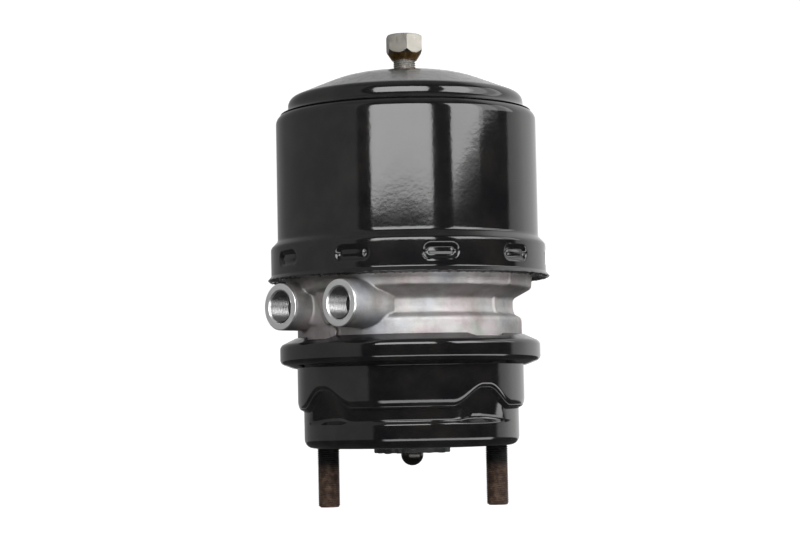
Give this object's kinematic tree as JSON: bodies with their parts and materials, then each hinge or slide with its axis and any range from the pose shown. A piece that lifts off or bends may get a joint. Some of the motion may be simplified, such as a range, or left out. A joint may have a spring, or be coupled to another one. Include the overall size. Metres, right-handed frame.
{
  "type": "spring brake chamber",
  "caption": "Air brake chamber for a disc brake: a pressed service chamber with a stroke-out pushrod, a clamped cast centre body with air ports and a spring brake housing with a release bolt.",
  "frame": {"origin": "centre of the mounting face, the flat underside of the service housing", "axes": "+Z along the chamber's axis from the mounting face to the release bolt, X through both mounting studs, the front is -Y"},
  "size_m": [0.2024, 0.2046, 0.339],
  "materials": {
    "black_coat": "satin black coat on pressed steel",
    "cast_aluminium": "as-cast aluminium",
    "piston_aluminium": "turned aluminium",
    "plain_steel": "plain steel",
    "hard_steel": "ground steel",
    "stud_steel": "dark brown oiled steel",
    "spring_steel": "black coated spring steel",
    "zinc_yellow": "yellow zinc plate",
    "black_rubber": "matte rubber",
    "nylon": "natural nylon"
  },
  "bodies": {
    "chamber": {"service_housing": "black_coat", "stud_plate": "plain_steel", "mounting_studs": "stud_steel", "mouth_seal": "black_rubber", "clamp_ring": "black_coat", "centre_body": "cast_aluminium", "tube_guide_bush": "nylon", "tube_seal": "black_rubber", "tube_retaining_ring": "spring_steel", "housing_seal": "black_rubber", "spring_housing": "black_coat", "release_bush": "plain_steel", "service_diaphragm": "black_rubber", "return_spring": "spring_steel", "dust_boot": "black_rubber", "power_spring": "spring_steel"},
    "pushrod_group": {"pushrod": "plain_steel", "pushrod_plate": "plain_steel", "ball_end": "hard_steel", "boot_clip": "plain_steel"},
    "piston_group": {"spring_piston": "piston_aluminium", "piston_seal": "black_rubber", "piston_guide_band": "nylon", "piston_tube": "plain_steel", "tube_end_cap": "piston_aluminium", "breather_valve": "nylon"},
    "bolt_carrier": {"thrust_washer": "plain_steel"},
    "bolt_group": {"release_bolt": "stud_steel", "release_nut": "zinc_yellow", "roll_pin": "spring_steel", "bolt_end_ring": "plain_steel"}
  },
  "joints": [
    {"name": "pushrod_stroke", "type": "slide", "parent": "chamber", "child": "pushrod_group", "axis": [0, 0, -1], "range_m": [0, 0.057], "stiffness_N_per_m": 900, "springref_m": -0.12, "deforming": ["return_spring", "dust_boot", "service_diaphragm"]},
    {"name": "spring_piston_stroke", "type": "slide", "parent": "chamber", "child": "piston_group", "axis": [0, 0, -1], "range_m": [0, 0.057], "deforming": ["power_spring"]},
    {"name": "release_rise", "type": "slide", "parent": "chamber", "child": "bolt_carrier", "axis": [0, 0, 1], "range_m": [-0.00975, 0.00975]},
    {"name": "release_turn", "type": "hinge", "parent": "bolt_carrier", "child": "bolt_group", "pos_m": [0, 0, 0.28], "axis": [0, 0, 1], "range_deg": [-2340, 2340]}
  ],
  "couplings": [
    {"joint": "spring_piston_stroke", "follows": "pushrod_stroke", "ratio": 1},
    {"joint": "release_turn", "follows": "release_rise", "rad_per_m": 4188.8}
  ]
}
